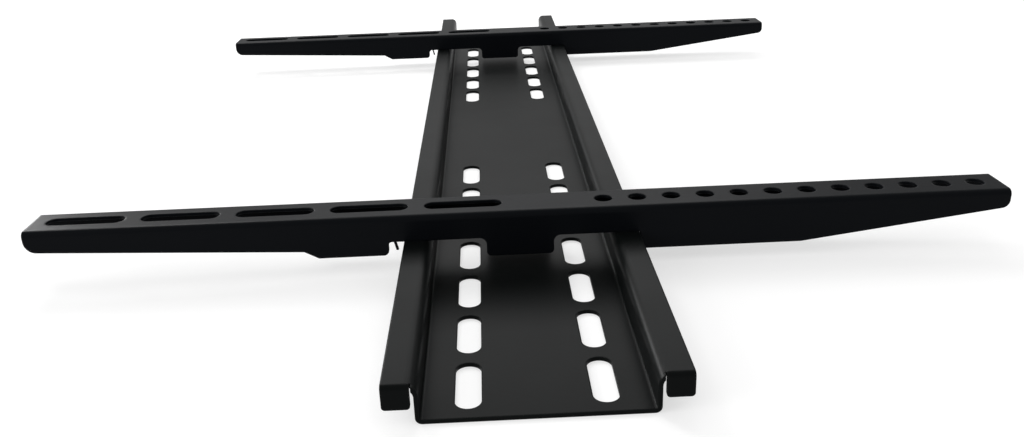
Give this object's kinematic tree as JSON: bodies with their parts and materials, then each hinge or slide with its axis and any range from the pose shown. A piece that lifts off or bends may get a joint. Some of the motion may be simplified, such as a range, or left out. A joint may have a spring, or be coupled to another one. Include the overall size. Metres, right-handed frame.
{
  "type": "fixed tv wall bracket",
  "caption": "Folded sheet-steel wall plate with a slotted base, hook rails and stop tabs, carrying hooked channel arms with screw holes and slots that hang a screen flat on a wall.",
  "frame": {"origin": "centre of the wall plate's back face", "axes": "+Z out of the wall, +Y up the wall, X along the plate"},
  "size_m": [0.64, 0.4246, 0.0262],
  "materials": {
    "powder_coat": "satin black powder coat on steel"
  },
  "bodies": {
    "wall_plate": {"wall_plate": "powder_coat"},
    "right_arm": {"right_arm": "powder_coat"},
    "left_arm": {"left_arm": "powder_coat"}
  },
  "joints": [
    {"name": "right_arm_slide", "type": "slide", "parent": "wall_plate", "child": "right_arm", "axis": [1, 0, 0], "range_m": [-0.1805, 0.1141]},
    {"name": "left_arm_slide", "type": "slide", "parent": "wall_plate", "child": "left_arm", "axis": [1, 0, 0], "range_m": [-0.1111, 0.1835]}
  ]
}
